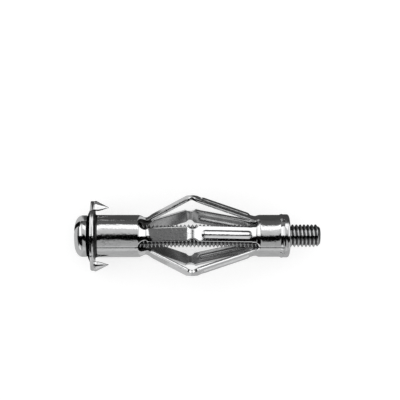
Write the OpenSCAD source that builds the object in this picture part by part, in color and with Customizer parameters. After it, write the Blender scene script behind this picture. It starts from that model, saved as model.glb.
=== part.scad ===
// Metal cavity wall anchor, set: a slotted sheet sleeve folded out by its screw.
// The screw axis is X. The wall face of the flange lies on x = 0, and the head is at -X.

/* [Sheet sleeve] */
// Thickness of the sheet that the sleeve is rolled from
sheet = 0.9; // [0.6:0.05:1.2]
// Outside diameter of the barrel and the collar
barrel_d = 10.9; // [9.5:0.1:13]
// Diameter of the flange
flange_d = 18.2; // [16:0.1:22]
// Radius where the flange turns into the barrel, on the wall side
flange_fillet = 0.8; // [0.6:0.1:1.2]
// Radius of the mouth of the sleeve, on the head side
mouth_round = 1.2; // [0.8:0.1:1.6]
// Length of the straight barrel from the flange
barrel_len = 11.2; // [8:0.1:20]
// Length over which the barrel necks in
neck_len = 2.3; // [1.8:0.1:3.5]
// How far the outside of the barrel necks in, on the radius
neck_in = 0.7; // [0.3:0.05:0.9]
// Gap left by the butt seam
seam_gap = 0.12; // [0.05:0.01:0.3]
// Direction of the butt seam, from straight up towards -Y
seam_at = 36; // [36:72:324]

/* [Legs] */
// Number of legs
legs = 5; // [4:1:5]
// Diameter of the relief hole at the root of each slot
relief_d = 3.2; // [2.4:0.1:3.4]
// Slope of the leg from the barrel out to its fold
rise_angle = 28.9; // [20:0.1:35]
// Slope of the leg from its fold in to the collar
fall_angle = 19.3; // [14:0.1:25]
// Radius of the fold from the axis to the outside of the leg
apex_r = 10.6; // [9:0.1:13]
// Outside radius of the bend at the fold
apex_bend = 3.2; // [2:0.1:4.5]
// Width of a leg between the barrel and its fold
leg_w_rise = 3.55; // [3:0.05:3.8]
// Width of a leg between its fold and the collar
leg_w_fall = 3.9; // [3.4:0.05:4.1]
// Width left at the fold between its two notches
fold_w = 2.4; // [1.8:0.05:2.8]
// Radius of each fold notch
notch_r = 1.8; // [1.2:0.1:2.2]

/* [Ribs] */
// Width of the stamped rib on each leg
rib_w = 2.0; // [1.4:0.05:2.2]
// Height of the rib above the leg
rib_h = 0.45; // [0.3:0.05:0.6]
// Distance from the fold to the start of the rib, along the leg
rib_from_fold = 2.7; // [2:0.1:5]
// Distance from the end of the rib to the collar, along the leg
rib_to_collar = 1.1; // [0.8:0.1:4]

/* [Collar] */
// Length of the collar past the legs
collar_len = 7.4; // [5.5:0.1:12]
// Length over which the collar opens out to its full size
collar_flare_len = 1.4; // [0.8:0.1:2.5]
// How far the collar is necked in where the legs leave it, on the radius
collar_neck_in = 0.35; // [0.1:0.05:0.8]
// Width of the slots between the legs at the collar
slot_w = 2.4; // [1.6:0.1:2.6]
// How far the lip at the end of the collar stands out, on the radius
lip_out = 0.25; // [0:0.05:0.5]

/* [Spikes] */
// How far the two spikes reach into the wall
spike_reach = 3.6; // [2.4:0.1:5]
// Width of each spike at its root
spike_w = 3.7; // [2.8:0.1:4.5]
// Distance from the axis to the point of a spike
spike_tip_r = 7.45; // [7:0.05:8.5]
// Depth of the cupped spike at its root, in from the rim
spike_depth = 2.5; // [2:0.1:2.7]
// Radius of the cup at the root of the spike
spike_cone_r = 2.0; // [1.6:0.1:2.4]
// Outside radius of the hook where the spike leaves the flange
spike_hook = 1.3; // [1:0.1:1.8]
// Width of the slit on each side of a spike
spike_slit = 0.25; // [0.15:0.05:0.5]
// How far above the wall side of the flange the spike's hollow starts
spike_floor = 0.15; // [0.1:0.05:0.6]

/* [Nut] */
// Length of the nut inside the collar
nut_body_len = 4.0; // [2.5:0.1:5]
// Thickness of the nut's rim
nut_rim_t = 1.6; // [1:0.1:2.5]
// Diameter of the nut's rim
nut_rim_d = 11.2; // [10:0.1:13]
// Number of keys round the nut
nut_keys = 4; // [2:1:4]
// Width of each key
key_w = 1.1; // [0.8:0.1:1.8]
// Length of each key along the axis
key_len = 0.9; // [0.5:0.1:1.5]
// Direction of the first key, from straight up towards -Y
key_at = 62; // [0:1:89]
// Depth of the countersink at the outer end of the nut's thread
nut_sink = 0.4; // [0.2:0.1:0.8]

/* [Screw] */
// Outside diameter of the thread
thread_d = 5.9; // [5:0.05:6.2]
// Length of the screw under its head
screw_len = 60; // [56:1:90]
// Chamfer at the tip of the screw
tip_chamfer = 0.8; // [0.3:0.1:1.2]
// Diameter of the plain neck under the head
plain_d = 5.5; // [4.8:0.05:5.6]
// Length of the plain neck under the head
plain_len = 2.8; // [1:0.1:5]
// Diameter of the head
head_d = 10.7; // [9.8:0.1:12.5]
// Height of the head
head_h = 3.5; // [3.2:0.02:5]
// Height of the head's straight side
head_side_h = 1.3; // [0.8:0.1:2]
// Width of the screwdriver slot
drive_slot_w = 1.5; // [1:0.1:1.8]
// Depth of the screwdriver slot
drive_slot_depth = 1.7; // [1:0.1:2.2]
// Diameter of the cross recess at the top of the head
cross_d = 6.2; // [4.5:0.1:7]
// Width of the wings of the cross recess
cross_wing_w = 1.3; // [0.9:0.1:1.6]
// Depth of the cross recess
cross_depth = 2.6; // [1.8:0.1:3]
// Direction of the screwdriver slot, from straight up towards +Y
drive_at = 34; // [0:1:89]

/* [Washer] */
// Outside diameter of the washer
washer_d = 13.3; // [12.5:0.1:16]
// Thickness of the washer
washer_t = 0.8; // [0.5:0.1:1.5]

/* [Clearances] */
// Gap between the screw's thread and the nut's bore, on the radius
bore_gap = 0.05; // [0.02:0.01:0.1]
// Gap between the washer's hole and the screw's neck, on the radius
washer_gap = 0.25; // [0.15:0.05:0.4]
// Gap round the nut in the collar, and round its keys
seat_gap = 0.02; // [0.01:0.01:0.1]

/* [Hidden] */
$fn = 96;
// How far the tube runs on under the roots of the legs
LAP = 0.15;

// Radii that follow from the tube
barrel_r = barrel_d / 2;
bore_r = barrel_r - sheet;
neck_r = barrel_r - neck_in;
collar_neck_r = barrel_r - collar_neck_in;
flange_r = flange_d / 2;
pitch = 360 / legs;

// Stations along the axis
neck_x = barrel_len + neck_len;
relief_x = neck_x - 0.25 * relief_d;
fold_lift = (cos(rise_angle) + cos(fall_angle)) / (1 + cos(rise_angle + fall_angle));
fold_shift = (sin(rise_angle) - sin(fall_angle)) / (1 + cos(rise_angle + fall_angle));
fold_peak_r = apex_r + apex_bend * (fold_lift - 1);
fold_x = neck_x + (fold_peak_r - neck_r) / tan(rise_angle);
fold_c = [fold_x + apex_bend * fold_shift, apex_r - apex_bend];
root_x = fold_x + (fold_peak_r - collar_neck_r) / tan(fall_angle);
collar_x = root_x + collar_flare_len;
collar_end = root_x + collar_len;
nut_end = collar_end + nut_rim_t;
head_seat = -sheet - washer_t;
head_top = head_seat - head_h;
tip_x = head_seat + screw_len;

// Points of an arc about c, from angle a to angle b
function arc(c, r, a, b, n = 8) =
    [for (i = [0:n]) let (t = a + (b - a) * i / n) c + r * [cos(t), sin(t)]];

// Turns a profile given as [x, radius] about the X axis
module turned() {
    rotate([0, 90, 0]) rotate([0, 0, 180]) rotate_extrude() mirror([1, 0]) rotate(90) children();
}

// Puts its children in the direction a, from straight up towards -Y
module facing(a) {
    rotate([a, 0, 0]) children();
}

// Extrudes an outline drawn in x and radius across the leg
module across(width) {
    rotate([90, 0, 0]) linear_extrude(width, center = true) children();
}

// One smooth step of the tube wall from radius r1 to r2 between x1 and x2
function step_curve(x1, r1, x2, r2, n = 6) =
    [for (i = [0:n]) let (u = i / n) [x1 + (x2 - x1) * u, r1 + (r2 - r1) * (1 - cos(180 * u)) / 2]];

// ---------- sleeve ----------

// Flange, mouth, barrel and neck as one turned sheet
module flanged_barrel() {
    f = flange_fillet;
    m = mouth_round;
    turned() polygon(concat(
        [[-sheet, flange_r - 0.25], [-sheet + 0.25, flange_r], [-0.25, flange_r], [0, flange_r - 0.25]],
        arc([f, barrel_r + f], f, 180, 270),
        step_curve(barrel_len, barrel_r, neck_x, neck_r),
        [[neck_x + LAP, neck_r], [neck_x + LAP, neck_r - sheet]],
        step_curve(neck_x, neck_r - sheet, barrel_len, bore_r),
        arc([m - sheet, bore_r + m], m, 270, 180)
    ));
}

// Plain collar that holds the nut, with its small lip
module collar() {
    turned() polygon(concat(
        [[root_x - LAP, collar_neck_r]],
        step_curve(root_x, collar_neck_r, collar_x, barrel_r),
        step_curve(collar_end - 0.9, barrel_r, collar_end - 0.25, barrel_r + lip_out),
        [[collar_end, barrel_r + lip_out], [collar_end, bore_r]],
        step_curve(collar_x, bore_r, root_x, collar_neck_r - sheet),
        [[root_x - LAP, collar_neck_r - sheet]]
    ));
}

// Side view of a leg: up from the neck, over the fold, down to the collar.
// Both ends are let into the wall of the tube.
module leg_side() {
    sink = 0.06;
    root = [neck_x + sheet * tan(rise_angle / 2), neck_r - sheet];
    foot = [root_x - sheet * tan(fall_angle / 2), collar_neck_r - sheet];
    polygon(concat(
        [[neck_x - 0.6, neck_r - sink], [neck_x - 0.1, neck_r - sink]],
        arc(fold_c, apex_bend, 90 + rise_angle, 90 - fall_angle),
        [[root_x + 0.1, collar_neck_r - sink], [root_x + 0.8, collar_neck_r - sink]],
        [[root_x + 0.8, foot[1] + 2 * sink], foot],
        arc(fold_c, apex_bend - sheet, 90 - fall_angle, 90 + rise_angle),
        [root, [neck_x - 0.6, root[1] + 3 * sink]]
    ));
}

// Plan of a leg, before the notches
module leg_plan() {
    a = leg_w_rise / 2;
    b = leg_w_fall / 2;
    polygon([
        [neck_x - 1, -a], [fold_x - 0.5, -a], [fold_x + 0.5, -b], [root_x + 1, -b],
        [root_x + 1, b], [fold_x + 0.5, b], [fold_x - 0.5, a], [neck_x - 1, a]
    ]);
}

// A rod with round ends along X
module capsule(r, length) {
    rotate([0, 90, 0]) cylinder(r = r, h = length);
    sphere(r);
    translate([length, 0, 0]) sphere(r);
}

rib_r = (pow(rib_w / 2, 2) + pow(rib_h, 2)) / (2 * rib_h);
rib_sink = rib_r - rib_h;
fall_len = (fold_peak_r - collar_neck_r) / sin(fall_angle);
rib_len = fall_len - rib_from_fold - rib_to_collar;

// Puts its children on the outside of the falling part of a leg, x running down it
module on_fall() {
    translate([fold_x, 0, fold_peak_r]) rotate([0, fall_angle, 0]) children();
}

// Raised bead on the falling part, before its hollow back is cut
module rib() {
    half = rib_w / 2;
    on_fall() intersection() {
        translate([rib_from_fold + half, 0, -rib_sink]) capsule(rib_r, rib_len - rib_w);
        translate([0, -rib_w, -sheet]) cube([fall_len, 2 * rib_w, sheet + rib_h + 1]);
    }
}

// Hollow back of the bead
module rib_back() {
    half = rib_w / 2;
    on_fall() translate([rib_from_fold + half, 0, -rib_sink]) capsule(rib_r - sheet, rib_len - rib_w);
}

module leg() {
    difference() {
        union() {
            intersection() {
                across(leg_w_fall + 2) leg_side();
                linear_extrude(fold_peak_r + 2) leg_plan();
            }
            rib();
        }
        rib_back();
        for (side = [-1, 1])
            translate([fold_c[0], side * (fold_w / 2 + notch_r), 0])
                cylinder(r = notch_r, h = fold_peak_r + 2);
    }
}

// A cutter that looks out from the axis between two legs
module radial_hole(x, d) {
    translate([x, 0, 0]) cylinder(d = d, h = flange_r);
}

// A spike is a tab of the rim, hooked over and cupped to a hollow half cone.
// In its own frame z points from the axis to the rim.
spike_r = spike_w / 2;
spike_axis_r = flange_r - spike_cone_r;
spike_inner_r = flange_r - spike_depth;

// The tab as seen along the rim, with its rounded hook. It is let into the flange by lap.
module spike_side() {
    h = spike_hook;
    lap = 0.4;
    polygon(concat(
        [[-sheet, spike_inner_r - lap]],
        arc([h - sheet, flange_r - h], h, 180, 90, 10),
        [[spike_reach, spike_tip_r], [spike_reach, spike_tip_r - 0.15],
            [0.25 * spike_reach, spike_inner_r], [-0.1, spike_inner_r],
            [-0.1, spike_inner_r - lap]]
    ));
}

// The tab as seen from outside the rim
module spike_plan() {
    x0 = 0.2;
    polygon([
        [-sheet - 1, -spike_r], [x0, -spike_r], [spike_reach, -0.12],
        [spike_reach, 0.12], [x0, spike_r], [-sheet - 1, spike_r]
    ]);
}

// A cone along the tab, from its root out to its point
module spike_cone(r, x1, x2) {
    lean = atan((spike_axis_r - spike_tip_r + 0.1) / spike_reach);
    translate([0, 0, spike_axis_r]) rotate([0, 90 + lean, 0]) rotate([0, 0, 180]) {
        translate([0, 0, x1]) cylinder(r = r, h = -x1);
        cylinder(r1 = r, r2 = 0.1, h = x2);
    }
}

module spike() {
    difference() {
        intersection() {
            across(spike_w) spike_side();
            linear_extrude(flange_r + 1) spike_plan();
            spike_cone(spike_cone_r, -3, spike_reach + 0.8);
        }
        intersection() {
            spike_cone(spike_cone_r - 0.8 * sheet, -1, spike_reach - 0.6);
            translate([spike_floor, -spike_w, 0]) cube([spike_reach, 2 * spike_w, flange_r]);
        }
    }
}

module spike_gap() {
    w = spike_w + 2 * spike_slit;
    translate([-sheet - 1, -w / 2, spike_inner_r + 0.3]) cube([sheet + 2, w, spike_w]);
}

// The slit of the butt seam between two stations along the tube
module seam(x1, x2) {
    facing(seam_at) translate([x1, -seam_gap / 2, 0]) cube([x2 - x1, seam_gap, flange_r + 1]);
}

// The holes at the barrel's end and at the collar's end of each slot
module slot_ends() {
    for (i = [0:legs - 1]) facing((i + 0.5) * pitch) {
        radial_hole(relief_x, relief_d);
        radial_hole(root_x - 0.4, slot_w);
    }
}

module sleeve() color([0.80, 0.81, 0.82]) {
    difference() {
        union() {
            difference() {
                flanged_barrel();
                for (a = [90, 270]) facing(a) spike_gap();
                seam(-sheet - 1, relief_x);
            }
            difference() {
                collar();
                seam(root_x - 1, collar_end + 1);
                for (i = [0:nut_keys - 1]) facing(key_at + i * 360 / nut_keys) key(seat_gap, 1);
            }
            for (i = [0:legs - 1]) facing(i * pitch) leg();
            for (a = [90, 270]) facing(a) spike();
        }
        slot_ends();
    }
}

// ---------- nut ----------

// One key between the nut and the collar, made larger by grow and longer by past for the cutter
module key(grow, past) {
    translate([collar_end - key_len - grow, -key_w / 2 - grow, bore_r - 0.6])
        cube([key_len + grow + past, key_w + 2 * grow, barrel_r + lip_out - bore_r + 0.6 + past]);
}

module nut() color([0.72, 0.73, 0.75]) {
    r = bore_r - seat_gap;
    rim = nut_rim_d / 2;
    bore = thread_d / 2 + bore_gap;
    difference() {
        union() {
            turned() polygon([
                [collar_end - nut_body_len, 0], [collar_end - nut_body_len, r - 0.4],
                [collar_end - nut_body_len + 0.4, r], [collar_end, r],
                [collar_end, rim], [nut_end - 0.5, rim], [nut_end, rim - 0.5], [nut_end, 0]
            ]);
            for (i = [0:nut_keys - 1]) facing(key_at + i * 360 / nut_keys) key(0, 0);
        }
        translate([collar_end - nut_body_len - 1, 0, 0]) rotate([0, 90, 0])
            cylinder(r = bore, h = nut_body_len + nut_rim_t + 2);
        translate([nut_end - nut_sink, 0, 0]) rotate([0, 90, 0])
            cylinder(r1 = bore, r2 = bore + 2 * nut_sink, h = 2 * nut_sink);
    }
}

// ---------- screw ----------

module head_profile() {
    r = head_d / 2;
    crown = head_h - head_side_h;
    polygon(concat(
        [[head_seat, 0], [head_seat, r - 0.3], [head_seat - 0.3, r]],
        [for (i = [0:10]) let (t = 90 * i / 10)
            [head_seat - head_side_h - crown * sin(t), r * pow(cos(t), 0.62)]],
        [[head_top, 0]]
    ));
}

module drive_recess() {
    facing(-drive_at) {
        translate([head_top - 1, -drive_slot_w / 2, -head_d])
            cube([drive_slot_depth + 1, drive_slot_w, 2 * head_d]);
        intersection() {
            for (a = [0, 90]) facing(a)
                translate([head_top - 1, -cross_wing_w / 2, -cross_d])
                    cube([cross_depth + 1, cross_wing_w, 2 * cross_d]);
            translate([head_top - 0.01, 0, 0]) rotate([0, 90, 0])
                cylinder(d1 = cross_d, d2 = 0.4 * cross_d, h = cross_depth + 1);
        }
    }
}

module screw() color([0.66, 0.67, 0.69]) {
    r = thread_d / 2;
    difference() {
        union() {
            turned() head_profile();
            turned() polygon([
                [head_seat - 0.5, 0], [head_seat - 0.5, plain_d / 2],
                [head_seat + plain_len, plain_d / 2], [head_seat + plain_len + 0.3, r],
                [tip_x - tip_chamfer, r], [tip_x, r - tip_chamfer], [tip_x, 0]
            ]);
        }
        drive_recess();
    }
}

// ---------- washer ----------

module washer() color([0.08, 0.08, 0.09]) {
    hole = plain_d / 2 + washer_gap;
    r = washer_d / 2;
    turned() polygon([
        [head_seat, hole], [head_seat, head_d / 2], [-sheet - 0.55 * washer_t, r],
        [-sheet - 0.15, r], [-sheet, r - 0.15], [-sheet, hole]
    ]);
}

sleeve();
nut();
screw();
washer();
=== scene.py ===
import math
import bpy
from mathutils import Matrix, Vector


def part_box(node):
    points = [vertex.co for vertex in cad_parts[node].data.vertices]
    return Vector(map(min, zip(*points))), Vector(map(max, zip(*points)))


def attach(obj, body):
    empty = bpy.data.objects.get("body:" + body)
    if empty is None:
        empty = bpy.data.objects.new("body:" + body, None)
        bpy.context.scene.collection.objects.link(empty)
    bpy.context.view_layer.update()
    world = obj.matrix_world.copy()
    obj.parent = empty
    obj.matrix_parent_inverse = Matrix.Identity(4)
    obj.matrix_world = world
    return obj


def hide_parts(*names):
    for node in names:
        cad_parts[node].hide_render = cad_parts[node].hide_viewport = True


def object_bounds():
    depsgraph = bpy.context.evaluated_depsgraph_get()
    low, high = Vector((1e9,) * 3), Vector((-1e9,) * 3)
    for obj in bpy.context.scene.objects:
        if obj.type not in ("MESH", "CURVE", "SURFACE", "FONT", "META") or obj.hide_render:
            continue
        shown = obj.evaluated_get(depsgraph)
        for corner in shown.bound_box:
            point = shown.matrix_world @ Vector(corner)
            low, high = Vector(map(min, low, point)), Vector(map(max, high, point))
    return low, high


bl_info = {
    "name": "Cavity anchor dressing",
    "version": (1, 0, 0),
    "blender": (4, 5, 0),
    "location": "View3D > Sidebar > Anchor",
    "description": "Dresses a set cavity wall anchor: folded sheet sleeve, nut, screw, washer and studio",
    "category": "Object",
}

import bpy
from mathutils import Matrix, Vector
from mathutils.bvhtree import BVHTree

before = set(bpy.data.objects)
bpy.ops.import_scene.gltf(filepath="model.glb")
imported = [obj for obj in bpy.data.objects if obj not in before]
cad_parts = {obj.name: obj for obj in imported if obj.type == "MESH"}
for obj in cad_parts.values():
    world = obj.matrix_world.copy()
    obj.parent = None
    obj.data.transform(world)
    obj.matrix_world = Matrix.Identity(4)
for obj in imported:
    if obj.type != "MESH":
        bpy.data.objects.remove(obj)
CAD_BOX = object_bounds()
SCREW_LOW, SCREW_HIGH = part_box("screw")
NUT_LOW, NUT_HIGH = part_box("nut")
WASHER_LOW, WASHER_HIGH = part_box("washer")


# ---------- settings ----------


def length(name, description, default):
    return bpy.props.FloatProperty(
        name=name, description=description, default=default, precision=6, subtype="DISTANCE", unit="LENGTH"
    )


def angle(name, description, degrees):
    return bpy.props.FloatProperty(
        name=name, description=description, default=math.radians(degrees), subtype="ANGLE", unit="ROTATION"
    )


def colour(name, description, default):
    return bpy.props.FloatVectorProperty(
        name=name, description=description, default=default, size=3, min=0.0, max=1.0, subtype="COLOR"
    )


def factor(name, description, default):
    return bpy.props.FloatProperty(
        name=name, description=description, default=default, min=0.0, max=1.0, subtype="FACTOR"
    )


class SleeveSizes(bpy.types.PropertyGroup):
    sheet: length("Sheet", "Thickness of the rolled sheet", 0.0009)
    barrel_r: length("Barrel radius", "Outside radius of the barrel and the collar", 0.00545)
    flange_r: length("Flange radius", "Outside radius of the flange", 0.0091)
    fillet: length("Fillet", "Radius where the flange turns into the barrel", 0.0008)
    barrel_end: length("Barrel end", "Where the barrel starts to neck in", 0.0112)
    neck_x: length("Neck", "Where the legs leave the barrel", 0.0135)
    neck_in: length("Neck depth", "How far the barrel necks in, on the radius", 0.0007)
    relief_x: length("Relief place", "Middle of the relief holes", 0.0127)
    relief_r: length("Relief radius", "Radius of the relief holes", 0.0016)
    rise: angle("Rise", "Slope of a leg from the barrel out to its fold", 28.9)
    fall: angle("Fall", "Slope of a leg from its fold in to the collar", 19.3)
    apex_r: length("Fold radius", "Distance from the axis to the outside of a fold", 0.0106)
    bend: length("Bend", "Outside radius of the bend at a fold", 0.0032)
    rise_half: length("Rise half width", "Half the width of a rising leg", 0.001775)
    fall_half: length("Fall half width", "Half the width of a falling leg", 0.00195)
    fold_half: length("Fold half width", "Half the width left between the notches", 0.0012)
    notch_r: length("Notch radius", "Radius of the notches at a fold", 0.0018)
    kept_curve: factor("Kept curve", "Share of the tube's curve that a leg keeps past its fold", 0.75)
    rib_half: length("Rib half width", "Half the width of the stamped rib", 0.001)
    rib_h: length("Rib height", "Height of the stamped rib", 0.00045)
    rib_from_fold: length("Rib start", "Distance from the fold to the rib", 0.0027)
    rib_to_collar: length("Rib end", "Distance from the rib to the collar", 0.0011)
    collar_len: length("Collar length", "Length of the collar past the legs", 0.0074)
    flare_len: length("Flare length", "Length over which the collar opens out", 0.0014)
    collar_in: length("Collar neck", "How far the collar is necked in at the legs", 0.00035)
    slot_r: length("Slot end radius", "Radius of the slots' ends at the collar", 0.0012)
    lip: length("Lip", "How far the collar's lip stands out", 0.00025)
    seam_at: angle("Seam", "Direction of the butt seam, from straight up towards -Y", 36)
    seam_gap: length("Seam gap", "Gap left by the butt seam", 0.00012)
    edge: length("Edge rounding", "Rounding of the sheared edges", 0.00014)
    spike_reach: length("Spike reach", "How far a spike reaches into the wall", 0.0036)
    spike_half: length("Spike half width", "Half the width of a spike at its root", 0.00185)
    spike_tip_r: length("Spike tip", "Distance from the axis to a spike's point", 0.00745)
    spike_hook: length("Spike hook", "Outside radius of the hook at a spike's root", 0.0013)
    spike_slit: length("Spike slit", "Width of the slit on each side of a spike", 0.00025)


class NutSizes(bpy.types.PropertyGroup):
    end: length("End", "Outer end of the nut", NUT_HIGH.x)
    start: length("Start", "Inner end of the nut", NUT_LOW.x)
    rim_t: length("Rim thickness", "Thickness of the rim outside the collar", 0.0016)
    rim_r: length("Rim radius", "Radius of the rim", 0.0056)
    body_r: length("Body radius", "Radius of the body inside the collar", 0.00453)
    key_w: length("Key width", "Width of each key", 0.0011)
    key_len: length("Key length", "Length of each key", 0.0009)
    key_r: length("Key radius", "Outer radius of the keys", 0.0057)
    key_at: angle("Key direction", "Direction of the first key, from straight up towards -Y", 62)
    sink: length("Countersink", "Depth of the countersink", 0.0004)


class ScrewSizes(bpy.types.PropertyGroup):
    thread_r: length("Thread radius", "Outside radius of the thread", 0.00295)
    root_r: length("Root radius", "Radius at the root of the thread", 0.00242)
    pitch: length("Pitch", "Advance of the thread in one turn", 0.001)
    thread_from: length("Thread start", "Where the thread starts under the head", 0.0012)
    tip_x: length("Tip", "End of the screw", SCREW_HIGH.x)
    tip_chamfer: length("Tip chamfer", "Chamfer at the end of the screw", 0.0008)
    neck_r: length("Neck radius", "Radius of the plain neck", 0.00275)
    head_top: length("Head top", "Top of the head", SCREW_LOW.x)
    head_seat: length("Head seat", "Underside of the head", WASHER_LOW.x)
    head_r: length("Head radius", "Radius of the head", SCREW_HIGH.z)
    head_side: length("Head side", "Height of the head's straight side", 0.0013)
    slot_w: length("Slot width", "Width of the screwdriver slot", 0.0015)
    slot_depth: length("Slot depth", "Depth of the screwdriver slot", 0.0017)
    cross_r: length("Cross radius", "Radius of the cross recess at the top", 0.0031)
    cross_w: length("Cross width", "Width of the wings of the cross recess", 0.0013)
    cross_depth: length("Cross depth", "Depth of the cross recess", 0.0026)
    drive_at: angle("Drive direction", "Direction of the slot, from straight up towards +Y", 34)


class WasherSizes(bpy.types.PropertyGroup):
    hole_r: length("Hole radius", "Radius of the hole", 0.003)
    outer_r: length("Outer radius", "Radius of the washer", WASHER_HIGH.z)
    seat_r: length("Seat radius", "Radius of the face under the head", 0.00535)


class FinishSettings(bpy.types.PropertyGroup):
    sheet_colour: colour("Sheet", "Colour of the plated sheet", (0.88, 0.885, 0.89))
    nut_colour: colour("Nut", "Colour of the plated nut", (0.85, 0.855, 0.86))
    head_colour: colour("Head", "Colour of the plated screw head", (0.87, 0.875, 0.88))
    thread_colour: colour("Thread", "Colour of the plated thread", (0.78, 0.785, 0.79))
    washer_colour: colour("Washer", "Colour of the black washer", (0.002, 0.002, 0.0022))
    sheet_rough: factor("Sheet roughness", "Roughness of the plated sheet", 0.07)
    thread_rough: factor("Thread roughness", "Roughness of the thread", 0.12)
    grain: factor("Grain", "Strength of the fine grain", 1.0)


class StudioSettings(bpy.types.PropertyGroup):
    floor_colour: colour("Floor", "Colour of the floor", (0.86, 0.86, 0.86))
    fill: factor("Fill", "Level of the light from all round", 0.85)
    lens: bpy.props.FloatProperty(name="Lens", description="Focal length", default=99.9, min=20.0, max=200.0)
    distance: length("Distance", "Distance from the camera to the anchor", 0.287)
    camera_x: length("Camera along the screw", "Where the camera stands along the screw", 0.0136)
    elevation: angle("Elevation", "Height angle of the camera", 85)
    aim_x: length("Aim along the screw", "Where the camera aims along the screw", 0.0272)
    aim_up: length("Aim above the screw", "How far above the screw the camera aims", 0.0093)


# ---------- tools ----------

MM = 0.001
STRAY = 0.6  # a corner further off the shape than this share of a bevel's width is a stray one


def deselect():
    if bpy.context.object and bpy.context.object.mode != "OBJECT":
        bpy.ops.object.mode_set(mode="OBJECT")
    bpy.ops.object.select_all(action="DESELECT")


def pick(obj):
    deselect()
    obj.select_set(True)
    bpy.context.view_layer.objects.active = obj


def open_mesh(obj):
    """Opens a mesh for editing with everything selected."""
    pick(obj)
    bpy.ops.object.mode_set(mode="EDIT")
    bpy.ops.mesh.select_all(action="SELECT")


def close_mesh():
    bpy.ops.object.mode_set(mode="OBJECT")


def open_edges(obj, test):
    """Opens a mesh for editing with only the edges selected whose two vertices pass the test."""
    open_mesh(obj)
    bpy.ops.mesh.select_mode(type="EDGE")
    bpy.ops.mesh.select_all(action="DESELECT")
    close_mesh()
    for e in obj.data.edges:
        e.select = test(*e.vertices)
    bpy.ops.object.mode_set(mode="EDIT")


def named(name):
    obj = bpy.context.object
    obj.name = name
    obj.data.name = name
    return obj


def drop(obj):
    bpy.data.objects.remove(obj, do_unlink=True)


def twin(obj, name, matrix):
    copy = obj.copy()
    copy.data = obj.data.copy()
    copy.name = name
    copy.data.transform(matrix)
    bpy.context.scene.collection.objects.link(copy)
    return copy


def join(first, others):
    pick(first)
    for obj in others:
        obj.select_set(True)
    bpy.ops.object.join()
    return first


def dress(obj, *finishes):
    for finish in finishes:
        obj.data.materials.append(bpy.data.materials[finish])


def off_axis(point):
    return math.hypot(point.y, point.z)


def draw_in(vertex, share):
    """Moves a vertex to this share of its distance from the X axis."""
    vertex.co.y *= share
    vertex.co.z *= share


def wrapped_grid(name, across, along, place):
    """Adds a flat grid and sets vertex (i, j) to place(i, j)."""
    deselect()
    bpy.ops.mesh.primitive_grid_add(x_subdivisions=across, y_subdivisions=along, size=2)
    obj = named(name)
    for v in obj.data.vertices:
        i = round((v.co.x + 1) / 2 * across)
        j = round((v.co.y + 1) / 2 * along)
        v.co = place(i, j)
    return obj


def loop(name, outline):
    """Adds a closed loop of edges through (x, radius) points."""
    deselect()
    bpy.ops.mesh.primitive_circle_add(vertices=len(outline), radius=0.01, fill_type="NOTHING")
    obj = named(name)
    for v, (x, r) in zip(obj.data.vertices, outline):
        v.co = (x, 0, r)
    return obj


def turned(name, outline):
    """Spins a closed outline of (x, radius) points about the X axis."""
    obj = loop(name, outline)
    open_mesh(obj)
    bpy.ops.mesh.spin(steps=96, angle=2 * math.pi, center=(0, 0, 0), axis=(1, 0, 0))
    close_up(obj)
    return obj


def close_up(obj, gap=1e-6):
    """Merges doubles, drops slivers and turns the faces outwards."""
    open_mesh(obj)
    bpy.ops.mesh.remove_doubles(threshold=gap)
    bpy.ops.mesh.dissolve_degenerate(threshold=gap / 2)
    bpy.ops.mesh.normals_make_consistent(inside=False)
    close_mesh()


def block(name, low, high, matrix):
    """Adds a box between two corners, then turns it by matrix."""
    deselect()
    bpy.ops.mesh.primitive_cube_add(size=1)
    obj = named(name)
    low, high = Vector(low), Vector(high)
    obj.data.transform(matrix @ Matrix.Translation((low + high) / 2) @ Matrix.Diagonal((*(high - low), 1)))
    return obj


def facing(a):
    """Turns straight up towards -Y by the angle a."""
    return Matrix.Rotation(a, 4, "X")


def modify(obj, kind, **values):
    """Adds a modifier with these values and applies it."""
    pick(obj)
    m = obj.modifiers.new("step", kind)
    for key, value in values.items():
        setattr(m, key, value)
    bpy.ops.object.modifier_apply(modifier=m.name)


def combine(obj, tool, how):
    modify(obj, "BOOLEAN", operation=how, solver="EXACT", object=tool)
    drop(tool)


def round_edges(obj, width, limit=35.0, clamp=True):
    """Bevels the sharp edges. Corners that an unclamped bevel throws off the shape go back on it."""
    mesh = obj.data
    shape = BVHTree.FromPolygons([v.co.copy() for v in mesh.vertices], [f.vertices[:] for f in mesh.polygons])
    modify(obj, "BEVEL", width=width, segments=2, limit_method="ANGLE", angle_limit=math.radians(limit),
           use_clamp_overlap=clamp, miter_outer="MITER_ARC")
    for v in obj.data.vertices:
        near, _, _, gap = shape.find_nearest(v.co)
        if gap > STRAY * width:
            v.co = near


def smooth(obj, limit=40.0, weighted=True):
    pick(obj)
    bpy.ops.object.shade_smooth_by_angle(angle=math.radians(limit))
    if weighted:
        modify(obj, "WEIGHTED_NORMAL", keep_sharp=True, weight=60)


def arc(cx, cr, radius, a, b, n):
    """Points of an arc about (cx, cr) from a to b degrees, in n steps."""
    turns = [math.radians(a + (b - a) * i / n) for i in range(n + 1)]
    return [(cx + radius * math.cos(t), cr + radius * math.sin(t)) for t in turns]


def ease(a, b, x):
    """Rises smoothly from 0 at a to 1 at b."""
    t = min(max((x - a) / (b - a), 0.0), 1.0)
    return t * t * (3 - 2 * t)


def wave(start, width, x):
    """Rises from 0 at start to 1 past width, along half a cosine."""
    u = min(max((x - start) / width, 0.0), 1.0)
    return (1 - math.cos(math.pi * u)) / 2


def soft_max(a, b, k):
    """The larger of a and b, rounded where they are less than k apart."""
    h = max(k - abs(a - b), 0.0) / k
    return max(a, b) + h * h * k / 4


# ---------- sleeve ----------

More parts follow.
